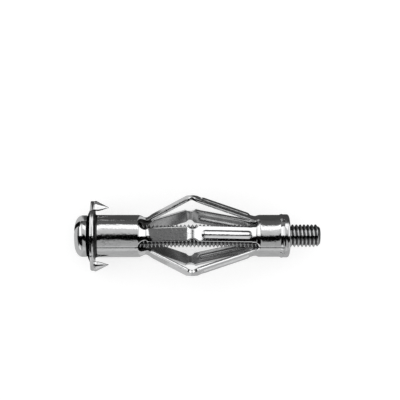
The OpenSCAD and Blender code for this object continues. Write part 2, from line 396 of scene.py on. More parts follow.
LEGS = 5
KEYS = 4
COLUMNS = 16  # columns of faces on each side of the middle of a leg
INNER_COLUMNS = 0.87  # share of the width inside the outer columns, which leave room for rounded edges
# Slot 1 paints shade on the sheet's inner faces.
SLEEVE_FINISHES = ("plated_sheet", "inside_painted_shade", "cut_edge_and_painted_shade")
# Slot 2 is dark, for the cut edges and for painted shade in the relief holes and the fillet under the flange.
SHEET, INSIDE, EDGE = range(3)
SPIKE_SIDES = (math.pi / 2, -math.pi / 2)
SLIT_FROM = 0.0069  # radius at which the slits beside the spikes start
NOTCH_FROM = 0.0035  # radius at which the cut for a key starts
KEY_PLAY = 0.00002

SPIKE_WALL = 0.00062  # thickness left round the hollow of a spike
SPIKE_ROOT = 0.0066  # height of the open side of a spike at its root
SPIKE_TIP = 0.00015  # depth of a spike at its point
SPIKE_POINT = 0.0001  # half the width of a spike at its point
SPIKE_PARALLEL = 0.0002  # how far a spike runs before it narrows
SPIKE_EDGE = 0.00004  # rounding of a spike's edges
HOLLOW_START = 0.00015  # where the hollow starts, past the flange's face
HOLLOW_SHORT = 0.00145  # how much shorter than the spike's reach the hollow is
HOLLOW_FLOOR = 0.0055  # height of the hollow's open side, below the spike's own
EDGE_BAND = 0.00014  # height of the dark cut edge round the open side of a spike

# Places of the rows of faces, in order from the flange to the lip
FLANGE_RINGS = (0.0081, 0.0073, 0.0067)  # radii
FLANGE_RIM = 0.0002  # width of the outermost ring
BARREL_ROWS = (0.12, 0.3, 0.5, 0.68, 0.82, 0.93)  # shares of the barrel
HOLE_ROWS = (10, 19, 28, 36, 41)  # degrees round the relief hole, past its middle
RISE_ROWS = (0.5, 0.8, 1.15, 1.6, 2.2, 3.2, 4.5, 6.0, 7.5, 8.6)  # mm past the neck
NOTCH_ROWS = (-1.319, -1.1, 1.2, 1.34, 1.462, 1.62, 1.85)  # mm from the middle of the bend
BEND_ROWS = 16
RIB_END_ROWS = (1.25, 1.12, 1.03, 0.95, 0.86, 0.76, 0.64, 0.5, 0.34, 0.16, -0.1)  # shares of its half width
RIB_ROWS = 8
SLOT_ROWS = (0.75, 0.6, 0.45, 0.3, 0.15)  # mm before the slot's end
COLLAR_ROWS = (0.08, 0.2, 0.38, 0.6, 0.82)  # shares of the collar
LIP_ROWS = (0, 0.00015, 0.0003, 0.00045, 0.0006, 0.0007, 0.00092)
LEAST_ROW = 0.00007  # rows closer than this are left out
BOW = 0.0008  # how far a row bows away from the leg beside a hole


class LegForm:
    """The outside of one leg and its share of the tube: radius, width and roundness along the axis."""

    SHARE = math.pi / LEGS
    BLEND = 0.0004  # rounding where the leg leaves the tube
    SLOT_BACK = 0.0004  # how far a slot's end stays behind the root of the leg
    FLATTENS = (-0.0004, 0.0018)  # where the tube turns flat, from the neck
    ROUNDS_UP = (-0.0018, 0.0003)  # where the leg turns round again, from its root
    KEEPS = (0.0016, 0.0032)  # where the kept curve starts, from the fold
    WIDENS = 0.0007  # where the leg widens, before the slot's end
    RIB_REACH = 1.3
    RIB_BLEND = 0.0001
    LIP_BACK, LIP_RISE = 0.0009, 0.00065  # where the lip starts, from the end, and how long it rises

    def __init__(self, s):
        self.s = s
        lift = (math.cos(s.rise) + math.cos(s.fall)) / (1 + math.cos(s.rise + s.fall))
        shift = (math.sin(s.rise) - math.sin(s.fall)) / (1 + math.cos(s.rise + s.fall))
        self.neck_r = s.barrel_r - s.neck_in
        self.collar_neck_r = s.barrel_r - s.collar_in
        self.peak_r = s.apex_r + s.bend * (lift - 1)
        self.fold_x = s.neck_x + (self.peak_r - self.neck_r) / math.tan(s.rise)
        self.bend_x = self.fold_x + s.bend * shift
        self.bend_r = s.apex_r - s.bend
        self.root_x = self.fold_x + (self.peak_r - self.collar_neck_r) / math.tan(s.fall)
        self.slot_x = self.root_x - self.SLOT_BACK
        self.end_x = self.root_x + s.collar_len
        self.rib_round = (s.rib_half**2 + s.rib_h**2) / (2 * s.rib_h)
        fall_len = (self.peak_r - self.collar_neck_r) / math.sin(s.fall)
        self.rib_a = s.rib_from_fold + s.rib_half
        self.rib_b = fall_len - s.rib_to_collar - s.rib_half

    def tube(self, x):
        s = self.s
        if x < self.fold_x:
            return s.barrel_r - s.neck_in * wave(s.barrel_end, s.neck_x - s.barrel_end, x)
        return self.collar_neck_r + s.collar_in * wave(self.root_x, s.flare_len, x)

    def lip(self, x):
        return self.s.lip * wave(self.end_x - self.LIP_BACK, self.LIP_RISE, x)

    def leg(self, x):
        s = self.s
        if x < self.bend_x - s.bend * math.sin(s.rise):
            return self.peak_r - (self.fold_x - x) * math.tan(s.rise)
        if x > self.bend_x + s.bend * math.sin(s.fall):
            return self.peak_r - (x - self.fold_x) * math.tan(s.fall)
        return self.bend_r + math.sqrt(s.bend**2 - (x - self.bend_x) ** 2)

    def radius(self, x):
        return soft_max(self.tube(x), self.leg(x), self.BLEND)

    def roundness(self, x):
        flat = self.passing(self.s.neck_x, self.FLATTENS, x)
        back = self.passing(self.root_x, self.ROUNDS_UP, x)
        kept = self.s.kept_curve * self.passing(self.fold_x, self.KEEPS, x)
        return 1 - flat * (1 - back) * (1 - kept)

    def passing(self, place, ends, x):
        return ease(place + ends[0], place + ends[1], x)

    def beside_hole(self, x, r, middle, hole_r):
        gap = math.sqrt(max(hole_r**2 - (x - middle) ** 2, 0.0))
        return r * (self.SHARE - math.asin(gap / r))

    def half_width(self, x, r):
        s = self.s
        if x <= s.relief_x - s.relief_r or x >= self.slot_x + s.slot_r:
            return r * self.SHARE
        if x < self.fold_x:
            half = s.rise_half
            if x < s.relief_x + s.relief_r:
                w = self.beside_hole(x, r, s.relief_x, s.relief_r)
                half = w if x < s.relief_x else min(w, half)
        else:
            w = self.beside_hole(max(x, self.slot_x), r, self.slot_x, s.slot_r)
            half = s.fall_half + (w - s.fall_half) * ease(self.slot_x - self.WIDENS, self.slot_x, x)
        gap = s.notch_r**2 - (x - self.bend_x) ** 2
        if gap > 0:
            half = min(half, s.fold_half + s.notch_r - math.sqrt(gap))
        return half

    def rib(self, x, y):
        s = self.s
        along = (x - self.fold_x) / math.cos(s.fall)
        d = math.hypot(max(self.rib_a - along, 0.0, along - self.rib_b), y)
        if d > s.rib_half * self.RIB_REACH:
            return 0.0
        height = math.sqrt(self.rib_round**2 - d * d) - (self.rib_round - s.rib_h)
        return soft_max(height, 0.0, self.RIB_BLEND)

    def leg_marks(self):
        """Places of the rows between the relief hole's middle and the slot's end."""
        s = self.s
        marks = [s.relief_x + s.relief_r * math.sin(math.radians(d)) for d in HOLE_ROWS]
        marks += [s.neck_x + MM * k for k in RISE_ROWS]
        marks += [self.bend_x + MM * k for k in NOTCH_ROWS]
        for i in range(BEND_ROWS + 1):
            marks.append(self.bend_x + s.bend * math.sin(-s.rise + (s.rise + s.fall) * i / BEND_ROWS))
        c = math.cos(s.fall)
        for end, way in ((self.rib_a, -1), (self.rib_b, 1)):
            marks += [self.fold_x + (end + way * k * s.rib_half) * c for k in RIB_END_ROWS]
        for i in range(1, RIB_ROWS):
            marks.append(self.fold_x + (self.rib_a + (self.rib_b - self.rib_a) * i / RIB_ROWS) * c)
        marks += [self.slot_x - MM * k for k in SLOT_ROWS]
        return sorted(marks)

    def rows(self):
        """Rows of (x at the edge, x in the middle, radius or None)."""
        s = self.s
        out = [(0.0, 0.0, r) for r in (s.flange_r, s.flange_r - FLANGE_RIM) + FLANGE_RINGS]
        for x, r in arc(s.fillet, s.barrel_r + s.fillet, s.fillet, 180, 270, 8):
            out.append((x, None, r))
        a = s.relief_x - s.relief_r
        for k in BARREL_ROWS:
            x = s.fillet + (a - s.fillet) * k
            out.append((x, x - BOW * k**3, None))
        for i in range(10):
            t = math.pi / 2 * i / 9
            out.append((s.relief_x - s.relief_r * math.cos(t), a - BOW + (s.relief_r + BOW) * i / 9, None))
        last = -1.0
        for x in self.leg_marks():
            if x - last > LEAST_ROW and x < self.slot_x - 0.00005:
                out.append((x, x, None))
                last = x
        for i in range(9):
            t = math.pi / 2 * i / 8
            out.append((self.slot_x + s.slot_r * math.sin(t), self.slot_x + (s.slot_r + BOW) * i / 8, None))
        b = self.slot_x + s.slot_r
        lip = self.end_x - LIP_ROWS[-1]
        for k in COLLAR_ROWS:
            x = b + (lip - b) * k
            out.append((x, x + BOW * (1 - k) ** 3, None))
        out += [(lip + x, lip + x, None) for x in LIP_ROWS]
        return out


def column(i):
    """Place of column i across a leg, from -1 to 1."""
    n = i - COLUMNS
    if abs(n) == COLUMNS:
        return math.copysign(1.0, n)
    return n / (COLUMNS - 1) * INNER_COLUMNS


def leg_sector(form):
    """One leg with its fifth of the flange, barrel and collar, as a single surface."""
    rows = form.rows()

    def place(i, j):
        edge, middle, fixed = rows[j]
        middle = edge if middle is None else middle
        u = column(i)
        x = middle + (edge - middle) * abs(u) ** 3
        r_edge = fixed or form.radius(edge)
        r = fixed or form.radius(x)
        half = r * form.SHARE if fixed else form.half_width(edge, r_edge) * r / r_edge
        t = half * u
        k = (1.0 if fixed else form.roundness(x)) / r
        y, sag = (t, 0.0) if k * abs(t) < 1e-7 else (math.sin(k * t) / k, (1 - math.cos(k * t)) / k)
        lift = form.rib(x, y) if form.fold_x < x < form.root_x else 0.0
        return (x + lift * math.sin(form.s.fall), y, r - sag + lift * math.cos(form.s.fall))

    return wrapped_grid("leg_sector", 2 * COLUMNS, len(rows) - 1, place)


def part_seam(obj, form):
    """Splits the tube along the butt seam and leaves a narrow gap."""
    s = form.s
    turn = facing(s.seam_at)
    along, side = turn @ Vector((0, 0, 1)), turn @ Vector((0, 1, 0))

    def on_seam(v):
        return abs(v.co.dot(side)) < 2e-6 and v.co.dot(along) > 0

    mesh = obj.data
    seam = [on_seam(v) for v in mesh.vertices]
    open_edges(obj, lambda a, b: seam[a] and seam[b])
    bpy.ops.mesh.edge_split(type="EDGE")
    close_mesh()
    lean = [0.0] * len(mesh.vertices)
    for p in mesh.polygons:
        for i in p.vertices:
            lean[i] += p.center.dot(side)
    for v in mesh.vertices:
        if on_seam(v):
            v.co += side * math.copysign(s.seam_gap / 2, lean[v.index])


def spike_mouth(s, x):
    """Height of the spike's open side above the axis."""
    return SPIKE_ROOT + (s.spike_tip_r - SPIKE_TIP - SPIKE_ROOT) * ease(0.0008, s.spike_reach * 1.1, x)


def spike_loft(name, s, inset):
    """A cupped tab hooked over from the rim, pointing along +X at +Z. With an inset it is the hollow."""
    around, along, hook, cup_steps, middle = 26, 20, 8, 16, 21
    start = s.spike_hook - s.sheet
    hook_r = s.flange_r - s.spike_hook
    slope = (s.flange_r - s.spike_tip_r) / (s.spike_reach - start)
    if inset:
        stations = [HOLLOW_START + (s.spike_reach - HOLLOW_SHORT) * j / along for j in range(along + 1)]
    else:
        stations = [start - s.spike_hook * math.cos(math.pi / 2 * j / hook) for j in range(hook + 1)]
        rest = along - hook
        stations += [start + (s.spike_reach - start) * j / rest for j in range(1, rest + 1)]

    def place(i, j):
        x = stations[j]
        if x < start:
            r = hook_r + math.sqrt(max(s.spike_hook**2 - (x - start) ** 2, 0.0))
        else:
            r = s.flange_r - slope * (x - start)
        k = max(x - SPIKE_PARALLEL, 0.0) / (s.spike_reach - SPIKE_PARALLEL)
        half = max((s.spike_half - SPIKE_POINT) * (1 - k) + SPIKE_POINT - inset, 0.00002)
        inner = HOLLOW_FLOOR if inset else spike_mouth(s, x)
        r -= inset
        depth = r - inner
        cup = min(half, 0.8 * depth)
        i %= around
        if i <= cup_steps:
            a = math.pi * (i / cup_steps - 0.5)
            b, n = half * math.sin(a), cup * (1 - math.cos(a))
        elif i in (cup_steps + 1, around - 1):
            b, n = half * (middle - i) / 4, depth - min(EDGE_BAND, 0.15 * depth)
        else:
            b, n = half * (middle - i) / 3, depth
        return (x, b, r - n)

    obj = wrapped_grid(name, around, along, place)
    open_mesh(obj)
    bpy.ops.mesh.remove_doubles(threshold=1e-6)
    bpy.ops.mesh.select_all(action="DESELECT")
    bpy.ops.mesh.select_mode(type="EDGE")
    bpy.ops.mesh.select_non_manifold(extend=False)
    bpy.ops.mesh.edge_face_add()
    bpy.ops.mesh.select_all(action="SELECT")
    bpy.ops.mesh.normals_make_consistent(inside=False)
    close_mesh()
    return obj


def spike(s):
    body = spike_loft("spike", s, 0.0)
    combine(body, spike_loft("spike_hollow", s, SPIKE_WALL), "DIFFERENCE")
    dress(body, *SLEEVE_FINISHES)
    round_edges(body, SPIKE_EDGE, limit=40, clamp=False)
    for f in body.data.polygons:
        corners = [body.data.vertices[i].co for i in f.vertices]
        if all(c.z - spike_mouth(s, c.x) < 1.05 * EDGE_BAND for c in corners):
            f.material_index = EDGE
    return body


class ANCHOR_OT_sleeve(bpy.types.Operator):
    """Rolls, slots, folds and ribs the sheet sleeve with its flange, spikes and collar"""

    bl_idname = "anchor.sleeve"
    bl_label = "Sheet sleeve"

    def execute(self, context):
        s = context.scene.anchor_sleeve
        form = LegForm(s)
        sleeve = self.sheet(s, form)
        self.paint(sleeve, s)
        for v in sleeve.data.vertices:
            r = off_axis(v.co)
            if v.co.x > form.end_x - MM and r > s.barrel_r - s.sheet / 2:
                v.co.yz = Vector(v.co.yz) * ((r + form.lip(v.co.x)) / r)
        round_edges(sleeve, s.edge, clamp=False)
        self.cut(sleeve, s, context.scene.anchor_nut, form.end_x)
        one = spike(s)
        pair = [twin(one, "spike_side", facing(a)) for a in SPIKE_SIDES]
        drop(one)
        join(sleeve, pair)
        smooth(sleeve, 35, weighted=False)
        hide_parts("sleeve")
        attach(sleeve, "sleeve")
        return {"FINISHED"}

    def sheet(self, s, form):
        """Sets five legs round the axis, parts the seam and gives the surface its thickness."""
        sector = leg_sector(form)
        legs = [twin(sector, f"leg_{i}", facing(2 * form.SHARE * i)) for i in range(1, LEGS)]
        sleeve = join(sector, legs)
        sleeve.name = sleeve.data.name = "folded_sleeve"
        open_mesh(sleeve)
        bpy.ops.mesh.remove_doubles(threshold=2e-6)
        close_mesh()
        barrel = min(sleeve.data.polygons, key=lambda p: abs(p.center.x - s.barrel_end / 2))
        if barrel.normal.dot(Vector((0, barrel.center.y, barrel.center.z))) < 0:
            sleeve.data.flip_normals()
        part_seam(sleeve, form)
        dress(sleeve, *SLEEVE_FINISHES)
        modify(sleeve, "SOLIDIFY", material_offset=INSIDE, material_offset_rim=EDGE, thickness=s.sheet,
               offset=-1, use_even_offset=True)
        return sleeve

    def paint(self, sleeve, s):
        """Keeps the dark edge finish only on the rims of the relief holes, where it is painted shade, and
        paints shade into the fillet under the flange.
        """
        for f in sleeve.data.polygons:
            if f.material_index == EDGE and not s.barrel_end - MM < f.center.x < s.neck_x + MM:
                f.material_index = SHEET
            inside_fillet = off_axis(f.center) < s.barrel_r + s.fillet
            if f.material_index == SHEET and 0 < f.center.x < s.fillet and inside_fillet:
                f.material_index = EDGE

    def cut(self, sleeve, s, nut, end_x):
        """Cuts the slits beside the spikes and the notches for the keys."""
        for side in SPIKE_SIDES:
            half = s.spike_half + s.spike_slit
            slit = block("slit", (-0.003, -half, SLIT_FROM), (0.002, half, 0.012), facing(side))
            combine(sleeve, slit, "DIFFERENCE")
        for i in range(KEYS):
            w = nut.key_w / 2 + KEY_PLAY
            notch = block("notch", (end_x - nut.key_len, -w, NOTCH_FROM), (end_x + MM, w, 0.008),
                          facing(nut.key_at + i * 2 * math.pi / KEYS))
            combine(sleeve, notch, "DIFFERENCE")


# ---------- screw, nut and washer ----------

# The tooth of the thread. The first four are shares of the pitch, the next is a share of its height
ROOT_FLAT, FOOT, CREST_HALF, CREST_ROUND = 0.05, 0.12, 0.07, 0.04
FOOT_RISE = 0.06
CREST_DROP = 0.00004
TURN_STEPS = 56
THREAD_PLAY = 0.00003  # how much larger all round the nut's thread is than the screw's

DOME_POWER = 0.62
DOME_STEPS = 24
PLUG = 0.0006  # how far the neck reaches into the thread
SEAT_CHAMFER = 0.0003
SIDE_ROUND = 0.0004
RUN_OUT = 0.4  # slope of the thread's run-out under the neck
WING_TAPER = 0.45  # width of a wing of the cross at its bottom, as a share of that at the top
RECESS_SKIN = 0.00015  # faces further under the dome than this belong to the recess

BORE_PLAY = 0.00006
SINK_PLAY = 0.00005
BODY_CHAMFER = 0.0004
MOUTH = 0.0005  # size of the chamfer where the screw enters
RIM_ROUND = 0.0005
FINE_EDGE = 0.00006
DISH = ((0.00012, 0.0004), (0.0003, 0.0008))  # how far down and out the washer's dish goes
WASHER_ROUND = 0.0002


def thread(name, s, start, end, grow=0.0):
    """A closed right-hand thread from start to end. grow makes it larger all round, for the nut."""
    p = s.pitch
    top, low = s.thread_r + grow, s.root_r + grow
    foot = low + FOOT_RISE * (top - low)
    crest = 0.5 * p - (CREST_HALF * p + grow * 0.6)
    first = math.floor(start / p) - 1
    rise = [(0.0, low), (ROOT_FLAT * p, low), (FOOT * p, foot), (crest - CREST_ROUND * p, top - CREST_DROP),
            (crest, top)]
    tooth = [(first * p + x, r) for x, r in rise + [(p - x, r) for x, r in reversed(rise)]]
    obj = loop(name, tooth)
    open_edges(obj, lambda a, b: {a, b} == {0, len(tooth) - 1})
    bpy.ops.mesh.delete(type="EDGE")
    close_mesh()
    modify(obj, "SCREW", axis="X", angle=2 * math.pi, steps=TURN_STEPS, render_steps=TURN_STEPS,
           iterations=math.ceil((end - start) / p) + 3, screw_offset=p, use_merge_vertices=True,
           merge_threshold=1e-7)
    open_mesh(obj)
    bpy.ops.mesh.remove_doubles(threshold=1e-6)
    for x, inner, outer in ((start, True, False), (end, False, True)):
        bpy.ops.mesh.select_all(action="SELECT")
        bpy.ops.mesh.bisect(plane_co=(x, 0, 0), plane_no=(1, 0, 0), use_fill=True,
                            clear_inner=inner, clear_outer=outer, threshold=1e-8)
    bpy.ops.mesh.select_all(action="SELECT")
    bpy.ops.mesh.normals_make_consistent(inside=False)
    close_mesh()
    return obj


class ANCHOR_OT_screw(bpy.types.Operator):
    """Turns the domed screw head, cuts its slot and cross, and rolls the thread"""

    bl_idname = "anchor.screw"
    bl_label = "Machine screw"

    def execute(self, context):
        s = context.scene.anchor_screw
        side = s.head_seat - s.head_side
        crown = side - s.head_top
        head = self.head(s, side, crown)
        self.recess(head, s)
        round_edges(head, 0.00012, 40)
        smooth(head, 42)
        dress(head, "plated_head", "cut_edge_and_painted_shade")
        self.paint(head, s, side, crown)
        shank = self.shank(s)
        dress(shank, "plated_thread")
        for piece in (head, shank):
            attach(piece, "screw")
        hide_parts("screw")
        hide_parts("screw")
        return {"FINISHED"}

    def head(self, s, side, crown):
        """Turns the head, with the plain neck that plugs the thread."""
        plug, c = s.thread_from + PLUG, SEAT_CHAMFER
        outline = [(s.head_top, 0.0), (plug, 0.0), (plug, s.root_r - c), (s.thread_from, s.neck_r)]
        outline += [(s.head_seat + c, s.neck_r), (s.head_seat, s.neck_r + c)]
        outline += arc(s.head_seat - SIDE_ROUND, s.head_r - SIDE_ROUND, SIDE_ROUND, 0, 90, 5)
        outline.append((side, s.head_r))
        for i in range(1, DOME_STEPS):
            t = math.pi / 2 * i / DOME_STEPS
            outline.append((side - crown * math.sin(t), s.head_r * math.cos(t) ** DOME_POWER))
        return turned("screw_head", outline)

    def recess(self, head, s):
        """Cuts the slot, then the two tapered wings of the cross."""
        turn = facing(-s.drive_at)
        over = s.head_top - MM
        bottom, w = s.head_top + s.slot_depth, s.slot_w / 2
        combine(head, block("slot", (over, -w, -0.01), (bottom, w, 0.01), turn), "DIFFERENCE")
        bottom, w = s.head_top + s.cross_depth, s.cross_w / 2
        for a in (0, math.pi / 2):
            wing = block("wing", (over, -w, -0.006), (bottom, w, 0.006), turn @ facing(a))
            for v in wing.data.vertices:
                if v.co.x > s.head_top:
                    draw_in(v, WING_TAPER)
            deselect()
            bpy.ops.mesh.primitive_cone_add(vertices=64, radius1=s.cross_r, radius2=s.cross_r * 0.3,
                                            depth=s.cross_depth + 0.0012)
            cone = named("cone")
            cone.data.transform(Matrix.Translation((s.head_top + s.cross_depth / 2, 0, 0))
                                @ Matrix.Rotation(math.pi / 2, 4, "Y"))
            combine(wing, cone, "INTERSECT")
            combine(head, wing, "DIFFERENCE")

    def paint(self, head, s, side, crown):
        """Paints shade into the recess: darkens the faces that lie under the dome."""
        for f in head.data.polygons:
            r = off_axis(f.center)
            steep = min(r / s.head_r, 1.0) ** (1 / DOME_POWER)
            skin = side - crown * math.sqrt(1 - steep**2) + RECESS_SKIN
            if r < s.head_r - 0.0001 and skin < f.center.x < s.head_top + s.cross_depth + 0.0001:
                f.material_index = 1

    def shank(self, s):
        """Rolls the thread, chamfers its end and runs it out under the neck."""
        shank = thread("screw_thread", s, s.thread_from - 0.0002, s.tip_x)
        taper = s.tip_x - s.tip_chamfer
        for v in shank.data.vertices:
            r = off_axis(v.co)
            most = s.thread_r - max(v.co.x - taper, 0.0)
            most = min(most, s.neck_r + max(v.co.x - s.thread_from, 0.0) * RUN_OUT)
            if r > most > 0:
                draw_in(v, most / r)
        smooth(shank, 50, weighted=False)
        return shank


class ANCHOR_OT_nut(bpy.types.Operator):
    """Turns the collar nut with its keys and taps its bore"""

    bl_idname = "anchor.nut"
    bl_label = "Collar nut"

    def execute(self, context):
        s = context.scene.anchor_nut
        screw = context.scene.anchor_screw
        rim = s.end - s.rim_t
        bore, sink = screw.root_r + BORE_PLAY, screw.thread_r + SINK_PLAY
        outline = [(s.start, bore + MOUTH), (s.start, s.body_r - BODY_CHAMFER)]
        outline += [(s.start + BODY_CHAMFER, s.body_r), (rim, s.body_r), (rim, s.rim_r)]
        outline += arc(s.end - RIM_ROUND, s.rim_r - RIM_ROUND, RIM_ROUND, 90, 0, 6)
        outline += [(s.end, sink + s.sink), (s.end - s.sink, sink), (s.end - s.sink - 0.0003, bore)]
        outline.append((s.start + MOUTH, bore))
        nut = turned("collar_nut", outline)
        for i in range(KEYS):
            key = block("key", (rim - s.key_len, -s.key_w / 2, s.body_r - 0.0005),
                        (rim + 0.0002, s.key_w / 2, s.key_r), facing(s.key_at + i * 2 * math.pi / KEYS))
            combine(nut, key, "UNION")
        combine(nut, thread("tap", screw, s.start - MM, s.end + MM, THREAD_PLAY), "DIFFERENCE")
        round_edges(nut, FINE_EDGE, 50)
        smooth(nut)
        dress(nut, "plated_nut")
        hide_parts("nut")
        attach(nut, "sleeve")
        return {"FINISHED"}


class ANCHOR_OT_washer(bpy.types.Operator):
    """Turns the black washer under the head"""

    bl_idname = "anchor.washer"
    bl_label = "Washer"

    def execute(self, context):
        s = context.scene.anchor_washer
        low, high = WASHER_LOW.x, WASHER_HIGH.x
        outline = [(low, s.hole_r), (low, s.seat_r)]
        outline += [(low + down, s.seat_r + out) for down, out in DISH]
        outline += arc(high - WASHER_ROUND, s.outer_r - WASHER_ROUND, WASHER_ROUND, 130, 0, 8)
        outline.append((high, s.hole_r))
        washer = turned("washer_ring", outline)
        round_edges(washer, FINE_EDGE, 50)
        smooth(washer)
        dress(washer, "washer_black")
        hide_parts("washer")
        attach(washer, "washer")
        return {"FINISHED"}


# ---------- finishes ----------

ROOT_SHADE = 0.12  # painted shade: brightness left in the root of the thread
EDGE_SHADE = 0.07  # brightness of the sheared edges and of the painted shade in the relief holes, the fillet under the flange and the head's recess, as a share of the plate's
# painted shade on the sleeve's inner faces, as a share of the plate's brightness
INSIDE_SHADE = 0.55
WASHER_LIGHT = 1.7  # how much brighter than its base colour the washer's grain gets


class Board:
    """Short way to add and link the nodes of one tree. They are set out in columns of four."""

    def __init__(self, tree):
        self.tree = tree
        tree.nodes.clear()

    def add(self, kind, feeds=None, **settings):
        """Adds a node. feeds gives some of its inputs: a value, or the output of another node."""
        column, row = divmod(len(self.tree.nodes), 4)
        node = self.tree.nodes.new(kind)
        node.location = (260 * column, -330 * row)
        for key, value in settings.items():
            setattr(node, key, value)
        for key, value in (feeds or {}).items():
            if isinstance(value, bpy.types.NodeSocket):
                self.tree.links.new(value, node.inputs[key])
            else:
                node.inputs[key].default_value = value
        return node

    def math(self, how, a, b=None, clamp=False):
        feeds = {0: a} if b is None else {0: a, 1: b}
        return self.add("ShaderNodeMath", feeds, operation=how, use_clamp=clamp).outputs[0]

    def line(self, value, scale, add):
        """value times scale plus add."""
        return self.math("ADD", self.math("MULTIPLY", value, scale), add)

    def mix(self, share, a, b, blend="MIX"):
        feeds = {0: share, 6: a, 7: b}
        return self.add("ShaderNodeMix", feeds, data_type="RGBA", blend_type=blend).outputs[2]

    def ramp(self, fac, stops):
        node = self.add("ShaderNodeValToRGB", {0: fac})
        points = node.color_ramp.elements
        while len(points) > 1:
            points.remove(points[-1])
        for k, (place, value) in enumerate(stops):
            point = points[0] if k == 0 else points.new(place)
            point.position = place
            level = value if isinstance(value, tuple) else (value, value, value)
            point.color = (*level, 1)
        return node.outputs[0]


def new_material(name):
    """Adds an empty material and returns its board."""
    mat = bpy.data.materials.new(name)
    mat.use_nodes = True
    return Board(mat.node_tree)


def grain_group():
    """Fine plated grain: a tint, a roughness and a height that vary over the surface."""
    tree = bpy.data.node_groups.new("Plated grain", "ShaderNodeTree")
    face = tree.interface
    for name, value in (("Size", 2600.0), ("Along", 0.25), ("Base roughness", 0.14), ("Spread", 0.1)):
        socket = face.new_socket(name=name, in_out="INPUT", socket_type="NodeSocketFloat")
        socket.default_value = value
    for name in ("Tint", "Roughness", "Height"):
        face.new_socket(name=name, in_out="OUTPUT", socket_type="NodeSocketFloat")
    b = Board(tree)
    given = b.add("NodeGroupInput").outputs
    where = b.add("ShaderNodeTexCoord").outputs["Object"]
    stretch = b.add("ShaderNodeCombineXYZ", {0: given["Along"], 1: 1.0, 2: 1.0})
    along = b.add("ShaderNodeVectorMath", {0: where, 1: stretch.outputs[0]}, operation="MULTIPLY")
    fine = b.add("ShaderNodeTexNoise", {
        "Vector": along.outputs[0], "Scale": given["Size"], "Detail": 3.0, "Roughness": 0.6,
    }).outputs["Fac"]
    patches = b.math("MULTIPLY", given["Size"], 0.16)
    broad = b.add("ShaderNodeTexNoise", {
        "Vector": where, "Scale": patches, "Detail": 2.0,
    }).outputs["Fac"]
    tint = b.line(fine, 0.6, b.math("MULTIPLY", broad, 0.4))
    swing = b.math("MULTIPLY", b.math("SUBTRACT", broad, 0.5), given["Spread"])
    rough = b.math("ADD", given["Base roughness"], swing, clamp=True)
    height = b.math("ADD", fine, b.math("MULTIPLY", broad, 0.5))
    b.add("NodeGroupOutput", {"Tint": tint, "Roughness": rough, "Height": height})


def with_groove_shade(b, coat, low, high):
    """Paints shade into the groove: darkens a colour between two radii about X."""
    where = b.add("ShaderNodeTexCoord").outputs["Object"]
    flat = b.add("ShaderNodeVectorMath", {0: where, 1: (0, 1, 1)}, operation="MULTIPLY")
    radius = b.add("ShaderNodeVectorMath", {0: flat.outputs[0]}, operation="LENGTH")
    depth = b.math("DIVIDE", radius.outputs["Value"], high)
    root = low / high
    # Painted shade: the colour darkens towards the root of the thread.
    groove_shade = b.ramp(depth, [(root - 0.06, 1.0), (root - 0.03, ROOT_SHADE), (root, ROOT_SHADE), (1.0, 1.0)])
    return b.mix(1.0, coat, groove_shade, "MULTIPLY")


def grained(name, stops, rough, size, along, bump, spread, metal=1.0, gloss=0.5, groove=None):
    """A finish with a fine grain, coloured by stops. groove=(low, high) paints shade into the groove between
    these radii about X.
    """
    b = new_material(name)
    grain = b.add("ShaderNodeGroup", node_tree=bpy.data.node_groups["Plated grain"])
    for key, value in (("Size", size), ("Along", along), ("Base roughness", rough), ("Spread", spread)):
        grain.inputs[key].default_value = value
    coat = b.ramp(grain.outputs["Tint"], stops)
    if groove:
        coat = with_groove_shade(b, coat, *groove)
    relief = b.add("ShaderNodeBump", {
        "Strength": 1.0, "Distance": bump, "Height": grain.outputs["Height"],
    })
    shader = b.add("ShaderNodeBsdfPrincipled", {
        "Metallic": metal, "Specular IOR Level": gloss, "Base Color": coat,
        "Roughness": grain.outputs["Roughness"], "Normal": relief.outputs["Normal"],
    })
    b.add("ShaderNodeOutputMaterial", {"Surface": shader.outputs[0]})


def plated(name, tint, rough, size, along, bump, spread=0.1, dull=0.08, groove=None):
    """Bright zinc plate. dull is how far its grain darkens it."""
    dark = tuple(c * (1 - dull) for c in tint)
    light = tuple(min(c * (1 + dull * 0.5), 1.0) for c in tint)
    grained(name, [(0.36, dark), (0.62, light)], rough, size, along, bump, spread, groove=groove)


